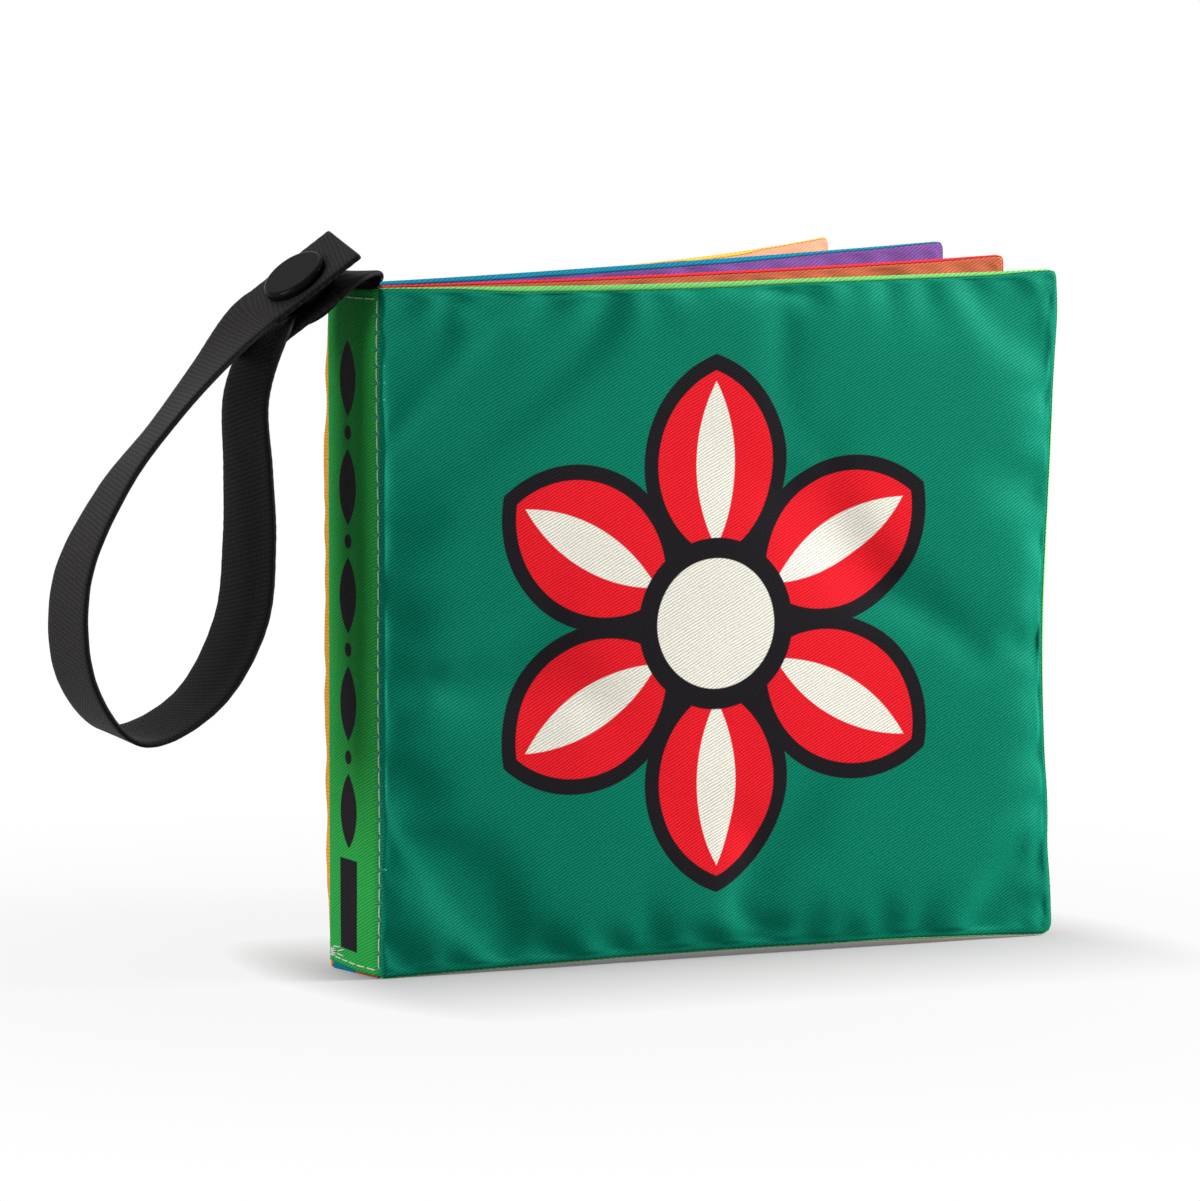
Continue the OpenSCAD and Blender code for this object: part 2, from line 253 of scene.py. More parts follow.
# The print on the front cover: a six-petalled rosette in the place and size of the frame's fields
PRINT_LOW, PRINT_HIGH = node_box("front_print_black")
PETALS = 6
LINE_W = 3.2
PRINT_R = (PRINT_HIGH[2] - PRINT_LOW[2]) / 2
PRINT_Z = (PRINT_HIGH[2] + PRINT_LOW[2]) / 2
PRINT_U = 67.25
EYE_R = 0.24 * PRINT_R
PETAL_L = PRINT_R - EYE_R - LINE_W
PETAL_W = 0.34 * PETAL_L
PRINT_BLUR = 0.12
DISC_SPARE = 0.6                   # covers the small gaps between the petals' outlines


def lens(g, x, y, half_l, half_w, grow):
    """Distance outside a leaf shape, the overlap of two equal discs."""
    r = (half_l**2 + half_w**2) / (2 * half_w)
    side = g.math("ADD", g.math("ABSOLUTE", y), r - half_w)
    reach = g.math("SQRT", g.math("ADD", g.math("MULTIPLY", x, x), g.math("MULTIPLY", side, side)))
    return g.math("SUBTRACT", reach, r + grow)


def inside(g, distance):
    return g.span(distance, -PRINT_BLUR, PRINT_BLUR, 1, 0, smooth=True)


def paint_rosette(g, u, z, colour):
    du, dz = g.math("SUBTRACT", u, PRINT_U), g.math("SUBTRACT", z, PRINT_Z)
    reach = g.math("SQRT", g.math("ADD", g.math("MULTIPLY", du, du), g.math("MULTIPLY", dz, dz)))
    step = 2 * math.pi / PETALS
    turn = g.math("ARCTAN2", du, dz)
    folded = g.math("SUBTRACT", g.math("FLOORED_MODULO", g.math("ADD", turn, step / 2), step), step / 2)
    mid = PRINT_R - LINE_W - PETAL_L / 2
    x = g.math("SUBTRACT", g.math("MULTIPLY", reach, g.math("COSINE", folded)), mid)
    y = g.math("MULTIPLY", reach, g.math("SINE", folded))
    outline = inside(g, lens(g, x, y, PETAL_L / 2, PETAL_W, LINE_W * 0.9))
    petal = inside(g, lens(g, x, y, PETAL_L / 2, PETAL_W, 0))
    heart = inside(g, lens(g, x, y, PETAL_L / 2, PETAL_W * 0.42, -1))
    disc = inside(g, g.math("SUBTRACT", reach, EYE_R + LINE_W + DISC_SPARE))
    eye = inside(g, g.math("SUBTRACT", reach, EYE_R))
    painted = g.mix(outline, colour, PRINT_BLACK)
    painted = g.mix(petal, painted, PRINT_RED)
    painted = g.mix(heart, painted, PRINT_CREAM)
    painted = g.mix(disc, painted, PRINT_BLACK)
    return g.mix(eye, painted, PRINT_CREAM)


# The print on the spine: leaf shapes and dots over a plain bar
LEAF_L, LEAF_W = 14, 6.4
LEAF_STEP = LEAF_L + 6
BAR_LOW = strip_low[2] + 3
BAR_H = 17
LEAF_LOW = BAR_LOW + BAR_H + 2 + LEAF_L / 2
LEAF_LAST = math.floor((book_h - 6 - LEAF_L / 2 - LEAF_LOW) / LEAF_STEP)
DOT_R = 1.3


def from_nearest(g, up, last):
    """Height over the nearest of the shapes in the row up the spine, which are numbered 0 to last."""
    row = g.math("ROUND", g.math("DIVIDE", up, LEAF_STEP))
    row = g.math("MINIMUM", g.math("MAXIMUM", row, 0), last)
    return g.math("SUBTRACT", up, g.math("MULTIPLY", row, LEAF_STEP))


def paint_spine(g, u, z, colour):
    up = g.math("SUBTRACT", z, LEAF_LOW)
    x = from_nearest(g, up, LEAF_LAST)
    leaf = inside(g, lens(g, x, u, LEAF_L / 2, LEAF_W / 2, 0))
    y = from_nearest(g, g.math("SUBTRACT", up, LEAF_STEP / 2), LEAF_LAST - 1)
    reach = g.math("SQRT", g.math("ADD", g.math("MULTIPLY", u, u), g.math("MULTIPLY", y, y)))
    dot = inside(g, g.math("SUBTRACT", reach, DOT_R))
    high = g.math("SUBTRACT", g.math("ABSOLUTE", g.math("SUBTRACT", z, BAR_LOW + BAR_H / 2)), BAR_H / 2)
    wide = g.math("SUBTRACT", g.math("ABSOLUTE", u), LEAF_W / 2)
    bar = inside(g, g.math("MAXIMUM", high, wide))
    shapes = g.math("MAXIMUM", g.math("MAXIMUM", leaf, dot), bar)
    return g.mix(shapes, colour, PRINT_BLACK)


# The webbing's ribs across it and yarns along it: pitches in millimetres, and how far the ribs slant
WEB_RIB, WEB_WARP = 0.86, 0.82
WEB_SLANT = 0.23


def webbing_material():
    """Black woven webbing: slanted ribs across and yarns along, which break each other up. Its colour is
    painted darker over its rounded edges, a painted shade, and between the ribs, partly pattern and partly
    painted shade.
    """
    g = Graph("webbing")
    along, across, _ = g.split(g.attribute("cloth"))
    stray = g.math("MULTIPLY", g.noise(g.join(along, across), 0.3, 2), 0.4)
    slanted = g.math("ADD", g.math("ADD", along, stray), g.math("MULTIPLY", across, WEB_SLANT))
    rib = g.math("SINE", g.math("MULTIPLY", slanted, 2 * math.pi / WEB_RIB))
    warp = g.math("SINE", g.math("MULTIPLY", across, 2 * math.pi / WEB_WARP))
    fuzz = g.noise(g.join(along, across), 2.4, 3, 0.6)
    both = g.math("MULTIPLY", g.math("MULTIPLY", rib, warp), 0.5)
    weave = g.math("MULTIPLY", g.math("ADD", g.span(rib, -1, 1), g.span(warp, -1, 1)), 0.2)
    weave = g.math("ADD", weave, g.math("MULTIPLY", g.math("ADD", both, 0.5), 0.35))
    weave = g.math("ADD", weave, g.math("MULTIPLY", g.span(fuzz, 0.3, 0.7), 0.25))
    # painted shade: the colour darkens over the webbing's rounded edges
    edge = g.span(g.math("ABSOLUTE", across), strap_w / 2 - 0.9, strap_w / 2 - 0.3, 1, 0.6, smooth=True)
    # the weave's valleys painted darker, partly pattern and partly painted shade
    light = g.math("MULTIPLY", g.span(weave, 0.2, 0.8, 0.2, 1.35), edge)
    g.put(g.shader.inputs["Base Color"], g.shade(slots["webbing"], light))
    g.put(g.shader.inputs["Roughness"], g.span(weave, 0.1, 0.9, 0.75, 0.5))
    g.shader.inputs["Specular IOR Level"].default_value = 0.3
    g.shader.inputs["IOR"].default_value = 1.2
    g.put(g.shader.inputs["Normal"], g.bump(weave, 0.1, 0.9))
    return g.material


def plastic_material():
    """Moulded black snap plastic with a faint orange-peel skin."""
    g = Graph("snap_plastic")
    skin = g.noise(g.position(), 1.1, 2)
    fine = g.noise(g.position(), 9.0, 2)
    g.put(g.shader.inputs["Base Color"], g.shade(slots["snap_plastic"], g.span(skin, 0.3, 0.7, 0.4, 0.6)))
    g.put(g.shader.inputs["Roughness"], g.span(fine, 0.3, 0.7, 0.12, 0.18))
    g.shader.inputs["Specular IOR Level"].default_value = 0.5
    g.shader.inputs["IOR"].default_value = 1.1
    g.put(g.shader.inputs["Normal"], g.bump(skin, 0.03, 0.5))
    return g.material


def thread_material(name, colour):
    """Twisted sewing thread."""
    g = Graph(name)
    x, y, z = g.split(g.position())
    twist = g.span(g.math("SINE", g.math("MULTIPLY", g.math("ADD", g.math("ADD", y, x), z), 16)), -1, 1)
    g.put(g.shader.inputs["Base Color"], g.shade(colour, g.span(twist, 0, 1, 0.72, 1.08)))
    g.shader.inputs["Roughness"].default_value = 0.6
    g.shader.inputs["Sheen Weight"].default_value = 0.15
    g.put(g.shader.inputs["Normal"], g.bump(twist, 0.03, 0.8))
    return g.material


# Meshes
def mesh_object(name, points, faces, material, cloth=None):
    """A smooth mesh object from millimetre points, with its cloth coordinates as an attribute."""
    mesh = bpy.data.meshes.new(name)
    mesh.from_pydata([tuple(p * MM for p in q) for q in points], [], faces)
    mesh.materials.append(material)
    mesh.shade_smooth()
    if cloth is not None:
        attribute = mesh.attributes.new("cloth", "FLOAT_VECTOR", "POINT")
        attribute.data.foreach_set("vector", np.array(cloth, float).ravel())
    obj = bpy.data.objects.new(name, mesh)
    bpy.context.scene.collection.objects.link(obj)
    return obj


def apply_modifiers(obj):
    """Turns what the modifiers make into the object's own mesh."""
    graph = bpy.context.evaluated_depsgraph_get()
    mesh = bpy.data.meshes.new_from_object(obj.evaluated_get(graph), depsgraph=graph)
    obj.modifiers.clear()
    obj.data = mesh
    mesh.shade_smooth()


# Padded panels. Each is two cloths sewn together round three sides and to the spine along the fourth.
SEAM_HALF_T = 0.5
EDGE_ROUND = 0.75
ROOT_ROUND = 0.6
CORNER_R = {"top": 1.9, "foot": 2.7}
PAD_HALF_T = 1.2
PAD_SLOPE = 13
GROOVE_W = 0.13
GROOVE_D = 0.22
FABRIC_T = 0.22
GRID_STEP = 2.7
SEAM_LINE = 3                      # which of the lines below the seam follows
EDGE_LINES = [0.3, 0.7, 1.2, 1.9, 2.9, 4.3, 6.2, 8.6]
ROOT_LINES = [-0.3, 0, 0.5, 1.2, 2.2, 3.6, 5.4, 7.6, 10]


def insets(roll):
    """Distances from a sewn edge of the grid lines along it, four of them at the rolled seam."""
    seam = [0, roll * 0.5, max(roll - GROOVE_W, roll * 0.8), roll, roll + GROOVE_W, roll + 0.4]
    return seam + [roll + 0.4 + e for e in EDGE_LINES]


def soft(x):
    """A smooth start and a level end, for the slope from a seam to the full padding."""
    x = min(1, max(0, x))
    return 1 - (1 - x) ** 2.4


def bell(x, middle, width):
    return math.exp(-(((x - middle) / width) ** 2))


def table(points):
    """A smooth function through a few (place, value) pairs."""
    def value(x):
        if x <= points[0][0]:
            return points[0][1]
        for (x0, y0), (x1, y1) in zip(points, points[1:]):
            if x <= x1:
                t = (x - x0) / (x1 - x0)
                return y0 + (y1 - y0) * t * t * (3 - 2 * t)
        return points[-1][1]
    return value


def root_lip(x):
    """The roll of cloth that stands out beside the stitched line, 0 at the line and 1 at its crest."""
    return math.sqrt(max(0, 1 - (1 - min(1, x / 1.3)) ** 2)) * math.exp(-((max(0, x - 1.3) / 5) ** 1.5))


class Panel:
    """The lie and the outline of one panel. top, foot and fore give its edges in millimetres,
    and roll_top, roll_foot and roll_fore how far the back cloth rolls over them to the front.
    For its front and its back, slopes are the widths of the rise from the root, lips the height of
    the roll at the root, and puffs how far the padding may swell."""

    def __init__(self, root, angle, seed, slopes, lips, puffs, creases=(), **edges):
        self.root, self.angle, self.seed = root, math.radians(angle), seed
        self.slopes, self.lips, self.puffs, self.creases = slopes, lips, puffs, creases
        self.edges = edges

    def edge(self, name, x):
        value = self.edges[name]
        return value(x) if callable(value) else value

    def place(self, u, v, z):
        c, s = math.cos(self.angle), math.sin(self.angle)
        return (self.root[0] + u * c - v * s, self.root[1] + u * s + v * c, z)


def grid_node(panel, side, i, j, nu, nz):
    """One node of a face's grid: u, its half thickness, z, and its distance from the nearest of the fore
    edge, foot and top.
    """
    k_edge = len(insets(1))
    n_root = len(ROOT_LINES)
    i_mid, i_fore = i - n_root, nu - 1 - i
    j_top = nz - 1 - j
    length = panel.edge("fore", 0.5 * book_h)
    # The place along the top and bottom edges, near enough for their height and roll
    mid_share = (i_mid + 1) / (nu - n_root - k_edge + 1)
    u_near = ROOT_LINES[i] if i < n_root else min(length, 10 + mid_share * (length - 20))
    if i_fore < k_edge:
        u_near = length - insets(0.5)[i_fore]
    foot, top = panel.edge("foot", u_near), panel.edge("top", u_near)
    below = insets(panel.edge("roll_foot", u_near) if side < 0 else 0.5)
    above = insets(panel.edge("roll_top", u_near) if side < 0 else 0.5)
    height = top - foot
    if j < k_edge:
        c = below[j]
    elif j_top < k_edge:
        c = height - above[j_top]
    else:
        c = below[-1] + (height - below[-1] - above[-1]) * (j - k_edge + 1) / (nz - 2 * k_edge + 1)
    d = height - c
    length = panel.edge("fore", foot + c)
    beside = insets(panel.edge("roll_fore", foot + c) if side < 0 else 0.5)
    if i < n_root:
        u = ROOT_LINES[i]
    elif i_fore < k_edge:
        u = length - beside[i_fore]
    else:
        u = ROOT_LINES[-1] + (length - beside[-1] - ROOT_LINES[-1]) * mid_share
    b = length - u
    # The square corners of the grid are pressed into round ones
    e = min(b, c, d)
    for near, corner in ((c, "foot"), (d, "top")):
        r = CORNER_R[corner]
        bx, by = (r - b) / r, (r - near) / r
        if bx > 0 and by > 0:
            x, y = bx * math.sqrt(1 - by * by / 2), by * math.sqrt(1 - bx * bx / 2)
            e = r * (1 - math.hypot(x, y))
            u = length - r * (1 - x)
            near = r * (1 - y)
            c = near if corner == "foot" else height - near
    z = foot + c
    from_root = u - ROOT_LINES[0]
    round_edge = min(1, max(0, e / EDGE_ROUND))
    round_root = min(1, from_root / ROOT_ROUND)
    half_t = SEAM_HALF_T * math.sqrt(max(0, 1 - (1 - round_edge) ** 2))
    half_t *= math.sqrt(1 - (1 - round_root) ** 2)
    slope = panel.slopes[0 if side < 0 else 1]
    fullness = soft(from_root / slope)
    for inward in (b, c, top - z):
        fullness *= soft(inward / PAD_SLOPE)
    half_t += (PAD_HALF_T - SEAM_HALF_T) * fullness
    share = max(0, min(1, (z - foot) / height))
    half_t += panel.lips[0 if side < 0 else 1] * root_lip(from_root) * math.sin(math.pi * share) ** 0.4
    on_seam = side < 0 and min(i_fore, j, j_top) == SEAM_LINE
    if on_seam and from_root > 0.6:
        half_t = max(0, half_t - GROOVE_D)
    return u, half_t, z, e


def wave(panel, u, z):
    """How far the middle of a panel stands off its flat plane."""
    spot = Vector((u * 0.022, z * 0.02, panel.seed * 3.7))
    return 0.5 * noise.noise(spot) * min(1, u / 30)


def pucker(panel, side, u, z, e):
    """Small folds that the seams gather, across the seams and dying away from them."""
    along = u if min(z, book_h - z) < panel.edge("fore", z) - u else z
    spot = Vector((along * 0.16, e * 0.05, panel.seed * 5.1 + side))
    fine = Vector((along * 0.37, e * 0.09, panel.seed * 2.3 + side))
    near = math.exp(-((e - 3.5) / 5.5) ** 2) * min(1, e / 1.5)
    return (0.34 * noise.noise(spot) + 0.12 * noise.noise(fine)) * near


def crease(panel, u, z):
    """Depth of the creases of the front face. Each starts at an edge and fades inwards:
    its start, its direction in degrees, its length, its depth and its half width."""
    depth = 0
    for u0, z0, direction, length, deep, wide in panel.creases:
        c, s = math.cos(math.radians(direction)), math.sin(math.radians(direction))
        along = (u - u0) * c + (z - z0) * s
        across = (z - z0) * c - (u - u0) * s
        if 0 < along < length:
            fade = min(1, along / 3) * (1 - along / length) ** 1.2
            depth += deep * fade * math.exp(-((across / wide) ** 2))
    return depth


def panel_mesh(panel):
    """Points, cloth marks and the quads of the front and back cloths of a closed panel."""
    k_edge = len(insets(1))
    nu = len(ROOT_LINES) + round((panel.edge("fore", 60) - 22) / GRID_STEP) + k_edge
    nz = 2 * k_edge + round((book_h - 20) / GRID_STEP)
    points, marks, index, sides, grips = [], [], {}, [], []
    for side in (-1, 1):
        for i in range(nu):
            for j in range(nz):
                rim = i in (0, nu - 1) or j in (0, nz - 1)
                if side > 0 and rim:
                    index[side, i, j] = index[-1, i, j]
                    continue
                u, half_t, z, e = grid_node(panel, side, i, j, nu, nz)
                half_t += pucker(panel, side, u, z, e)
                if side < 0:
                    half_t -= crease(panel, u, z)
                v = wave(panel, u, z) + side * half_t
                index[side, i, j] = len(points)
                points.append(panel.place(u, v, z))
                marks.append((side * -u, z, 0))
                sides.append(0 if rim else side)
                grips.append(1.0 if rim or u < 0.4 or e < SEAM_GRIP else 0.0)
    fronts, backs = [], []
    for side in (-1, 1):
        for i in range(nu - 1):
            for j in range(nz - 1):
                corners = ((i, j), (i + 1, j), (i + 1, j + 1), (i, j + 1))
                quad = [index[side, a, b] for a, b in corners]
                if side > 0:
                    quad.reverse()
                within = side < 0 and i < nu - 1 - SEAM_LINE and SEAM_LINE <= j < nz - 1 - SEAM_LINE
                (fronts if within else backs).append(quad)
    points = settle(panel, points, fronts + backs, sides, grips)
    return points, marks, fronts, backs


# The padding's swelling and the gathers at its seams, simulated on an enlarged copy
SIM_SCALE = 10
SIM_FRAMES = 20
SEAM_GRIP = 1.6                    # cloth nearer than this to a seam is held by it
SLIP = 0.35                        # how far a point may move within the cloth's own plane


def settle(panel, points, quads, sides, grips):
    """The points of a closed panel after its cloth has swelled and gathered between its held seams."""
    mesh = bpy.data.meshes.new("settling")
    mesh.from_pydata([tuple(p * MM * SIM_SCALE for p in q) for q in points], [], quads)
    obj = bpy.data.objects.new("settling", mesh)
    bpy.context.scene.collection.objects.link(obj)
    held = obj.vertex_groups.new(name="held")
    held.add([k for k, grip in enumerate(grips) if grip > 0], 1.0, "REPLACE")
    cloth = obj.modifiers.new("cloth", "CLOTH")
    fabric = cloth.settings
    fabric.quality = 5
    fabric.mass = 0.3
    fabric.air_damping = 3
    fabric.tension_stiffness = fabric.compression_stiffness = 30
    fabric.shear_stiffness = 8
    fabric.bending_stiffness = 0.6
    fabric.shrink_min = -0.02
    fabric.vertex_group_mass = "held"
    fabric.use_pressure = True
    fabric.uniform_pressure_force = 0.6
    fabric.effector_weights.gravity = 0
    cloth.collision_settings.use_collision = False
    for frame_number in range(1, SIM_FRAMES + 1):
        bpy.context.scene.frame_set(frame_number)
    settled = obj.evaluated_get(bpy.context.evaluated_depsgraph_get()).data
    after = np.empty(len(points) * 3)
    settled.vertices.foreach_get("co", after)
    after = after.reshape(-1, 3) / (MM * SIM_SCALE)
    bpy.data.objects.remove(obj)
    bpy.context.scene.frame_set(1)
    before = np.array(points, float)
    moved = after - before
    c, s = math.cos(panel.angle), math.sin(panel.angle)
    outward = (moved @ np.array([-s, c, 0])) * np.array(sides)
    within = moved @ np.array([c, s, 0])
    limit = np.where(np.array(sides) < 0, panel.puffs[0], panel.puffs[1])
    limit = np.where(outward < 0, 0.5 * limit, limit)
    outward = limit * np.tanh(outward / limit)
    within = SLIP * np.tanh(within / SLIP)
    upward = SLIP * np.tanh(moved[:, 2] / SLIP)
    step = np.outer(outward * np.array(sides), [-s, c, 0]) + np.outer(within, [c, s, 0])
    step[:, 2] += upward
    return [tuple(p) for p in before + step]


def cloth_piece(name, points, marks, quads, material):
    """One cloth of a panel as a thin shell of its own."""
    used = sorted({k for q in quads for k in q})
    new = {old: k for k, old in enumerate(used)}
    faces = [[new[k] for k in q] for q in quads]
    obj = mesh_object(name, [points[k] for k in used], faces, material, [marks[k] for k in used])
    smooth = obj.modifiers.new("smooth", "SUBSURF")
    smooth.levels = smooth.render_levels = 1
    shell = obj.modifiers.new("shell", "SOLIDIFY")
    shell.thickness = FABRIC_T * MM
    shell.offset = -1
    apply_modifiers(obj)
    return obj


ROOT_BEND = (-0.5, 6.0)            # a stretch beside a cover's stitched line, worked out in bend_at_root but bending nothing


def bend_at_root(obj, panel):
    """Bakes a cover's cloth's placement into its mesh; the stretch beside its stitched line is worked out
    but bends nothing.
    """
    start, end = (Vector(panel.place(u, 0, 0)) * MM for u in ROOT_BEND)
    tuple(start)
    tuple(end)
    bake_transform(obj)


def make_panel(panel, body, front, back):
    """Builds a panel's two cloths. front and back are (name, material, slot, nodes it stands for); the
    slot in them is not used.
    """
    points, marks, fronts, backs = panel_mesh(panel)
    for (name, material, slot, nodes), quads in ((front, fronts), (back, backs)):
        obj = cloth_piece(name, points, marks, quads, material)
        if body == "spine":
            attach(obj, body)
        else:
            bend_at_root(obj, panel)
        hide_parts(*nodes)


def edge_line(start, climb=0.0, power=1.0, dip=0.0, length=140.0, extra=()):
    """Height of an edge: its start, its climb to the fore corner, its dip in the middle, small waves."""
    def height(u):
        share = min(1, max(0, u / length))
        waves = sum(h * bell(u, at, width) for at, width, h in extra)
        return start + climb * share**power - dip * math.sin(math.pi * share) + waves
    return height


def fore_line(length, draw, extra=()):
    def reach(z):
        waves = sum(h * bell(z, at, width) for at, width, h in extra)
        return length - draw * bell(z / book_h, 0.42, 0.32) + waves
    return reach


teal = cloth_material("green_cloth", TEAL, paint_rosette)
lime = cloth_material("lime_cloth", LIME)
peach = cloth_material("peach_cloth", PEACH, contrast=0.16)
mustard = cloth_material("mustard_cloth", MUSTARD, contrast=0.16)
green = cloth_material("spine_cloth", GREEN, paint_spine)
brown = cloth_material("brown_cloth", BROWN)
red = cloth_material("red_cloth", RED)
purple = cloth_material("purple_cloth", PURPLE)
blue = cloth_material("blue_cloth", BLUE)
webbing = webbing_material()
plastic = plastic_material()
white_thread = thread_material("white_thread", THREAD)
teal_thread = thread_material("teal_thread", TEAL_THREAD)

FRONT_OPEN, FRONT_LEAF, BACK_LEAF, BACK_OPEN = -6.2, 0.3, 2.4, 16
LEAF_ROOT = (0.9, strip_y - 0.6)

front_cover = Panel(
    (0, -hinge_y), FRONT_OPEN, 1, (14, 25), (0.08, 0), (1.1, 0.35),
    creases=[(45, 126, -97, 24, 0.42, 3.2), (81, 126, -88, 30, 0.5, 3.4), (24, 0, 80, 16, 0.5, 3.2),
             (48, 0, 62, 22, 0.42, 3.6), (126, 0, 95, 16, 0.4, 3.4), (140, 104, 178, 16, 0.4, 3.2),
             (140, 26, 186, 14, 0.35, 3), (104, 126, -84, 18, 0.3, 3.4), (12, 126, -80, 16, 0.3, 3)],
    top=edge_line(126.85, 0.3, 1.5, 0.35, extra=[(45, 22, -0.25), (70, 9, -0.1)]),
    foot=edge_line(0.08, 0, 1, -1.12),
    fore=fore_line(140, 2.6, [(119, 6, 0.45), (26, 5, 0.3), (17, 4, -0.25)]),
    roll_top=table([(0, 0.3), (12, 0.5), (28, 1.15), (60, 1.25), (85, 1.0), (120, 0.9), (136, 0.35)]),
    roll_fore=table([(0, 0.2), (30, 0.3), (62, 0.75), (95, 0.6), (112, 0.25)]),
    roll_foot=table([(0, 0.15), (85, 0.2), (108, 0.5), (125, 0.35), (138, 0.2)]),
)
front_leaf = Panel(
    (LEAF_ROOT[0], -LEAF_ROOT[1]), FRONT_LEAF, 2, (25, 25), (0, 0), (0.45, 0.45),
    top=edge_line(127.2, 2.0, 2.2, 0, 138),
    foot=edge_line(0.3, 1.0, 2.2, -0.3, 138),
    fore=fore_line(138, 1),
    roll_top=table([(0, 0.5), (60, 0.65), (120, 0.6), (136, 0.35)]),
    roll_fore=0.3,
    roll_foot=0.25,
)
back_leaf = Panel(
    (LEAF_ROOT[0], LEAF_ROOT[1]), BACK_LEAF, 3, (25, 25), (0, 0), (0.45, 0.45),
    top=edge_line(126.9, 4.0, 1.3, 0, 138),
    foot=edge_line(0.3, 2.4, 1.3, -0.3, 138),
    fore=fore_line(138, 1),
    roll_top=table([(0, 0.9), (50, 1.2), (85, 1.1), (115, 0.6), (136, 0.3)]),
    roll_fore=0.3,
    roll_foot=0.25,
)
back_cover = Panel(
    (0, hinge_y), BACK_OPEN, 4, (25, 16), (0, 1.9), (0.45, 1.1),
    top=edge_line(126.4, 4.1, 3, 0.1),
    foot=edge_line(0.08, 0, 1, -0.32),
    fore=fore_line(140, 1.1),
    roll_top=table([(0, 0.25), (92, 0.25), (100, 0.7), (112, 0.7), (120, 0.25)]),
    roll_fore=0.25,
    roll_foot=0.2,
)
make_panel(front_cover, "front_cover",
           ("front_cover_outer", teal, "green_cloth",
            ["front_cover_face", "front_print_black", "front_print_red", "front_print_cream"]),
           ("front_cover_inner", lime, "lime_cloth", ["front_cover_lining"]))
make_panel(front_leaf, "spine",
           ("front_leaf_front", brown, "page_cloth", ["pages"]),
           ("front_leaf_back", red, "page_cloth", ["pages"]))
make_panel(back_leaf, "spine",
           ("back_leaf_front", purple, "page_cloth", ["pages"]),
           ("back_leaf_back", blue, "page_cloth", ["pages"]))
make_panel(back_cover, "back_cover",
           ("back_cover_inner", peach, "peach_cloth", ["back_cover_lining"]),
           ("back_cover_outer", mustard, "mustard_cloth", ["back_cover_face"]))


# Tubes and bands swept along a line of points
def sweep(name, centres, frames, outline, material, marks=None):
    """A closed skin of one outline, given as (width, height) pairs, carried along the centres."""
    n = len(outline[0])
    points, cloth = [], []
    for k, (p, (w, h)) in enumerate(zip(centres, frames)):
        for a, b in outline[k]:
            points.append(tuple(p[m] + w[m] * a + h[m] * b for m in range(3)))
            cloth.append((marks[k] if marks else 0, a, 0))
    quads = [
        [k * n + m, k * n + (m + 1) % n, (k + 1) * n + (m + 1) % n, (k + 1) * n + m]
        for k in range(len(centres) - 1) for m in range(n)
    ]
    last = (len(centres) - 1) * n
    quads.append(list(range(n - 1, -1, -1)))
    quads.append([last + m for m in range(n)])
    return mesh_object(name, points, quads, material, cloth)


def unit(v):
    return v / np.linalg.norm(v)


# The spine strip
STRIP_EDGE = hinge_y + 0.05
STRIP_TILT = 1.2                   # how much higher the foot of the strip is at its back edge
STRIP_FOOT = 0.45
STRIP_BULGE = strip_in - 0.5 - strip_out
STRIP_T = 0.45


def strip_depth(y, z):
    """How far out the strip's cloth stands at a place, from its soft fold lines and its stitches."""
    share = min(1, abs(y) / STRIP_EDGE)
    body = STRIP_BULGE * (1 - share**2.6)
    ridge = 0.22 * bell(y, -3.6, 2.2) - 0.10 * bell(y, 3.4, 2.6)
    edge = 0.95 * (1 - max(0, (share - 0.84) / 0.16) ** 2.5)
    ripple = 0.22 * noise.noise(Vector((y * 0.11, z * 0.055, 4.2))) * (1 - share**4)
    return edge + body + ridge * (1 - share**4) + ripple


def make_strip():
    ys = [STRIP_EDGE * math.sin(math.pi / 2 * k / 20) for k in range(-20, 21)]
    zs = np.concatenate([[STRIP_FOOT, STRIP_FOOT + 0.25], np.linspace(STRIP_FOOT + 0.7, book_h - 0.7, 130),
                         [book_h - 0.25, book_h]])
    points, marks, faces = [], [], []
    n = len(ys)
    for k, z in enumerate(zs):
        end = 0.25 if k in (0, len(zs) - 1) else 0.05 if k in (1, len(zs) - 2) else 0
        for layer in (0, 1):
            for y in ys:
                out = strip_depth(y, z) - end
                lift = STRIP_TILT * (y / STRIP_EDGE + 1) / 2
                lift += 55 * max(0, y / STRIP_EDGE - 0.86) ** 2
                high = z + lift * (1 - (z - STRIP_FOOT) / (book_h - STRIP_FOOT)) ** 3
                points.append((-(out if layer == 0 else max(0.02, out - STRIP_T)), y, high))
                marks.append((-y, z, 0))
    ring = lambda k: [k * 2 * n + m for m in range(n)] + [k * 2 * n + n + m for m in range(n - 1, -1, -1)]
    rings = [ring(k) for k in range(len(zs))]
    for a, b in zip(rings, rings[1:]):
        for m in range(2 * n):
            w = (m + 1) % (2 * n)
            faces.append([a[m], b[m], b[w], a[w]])
    for m in range(n - 1):
        for r, flip in ((rings[0], False), (rings[-1], True)):
            quad = [r[m], r[m + 1], r[2 * n - 2 - m], r[2 * n - 1 - m]]
            faces.append(quad[::-1] if flip else quad)
    strip = mesh_object("spine_cloth", points, faces, green, marks)
    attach(strip, "spine")
    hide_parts("spine_strip", "spine_print")


make_strip()


# Sewing
THREAD_R = 0.13
STITCH_PITCH = 3.05
STITCH_L = 2.98


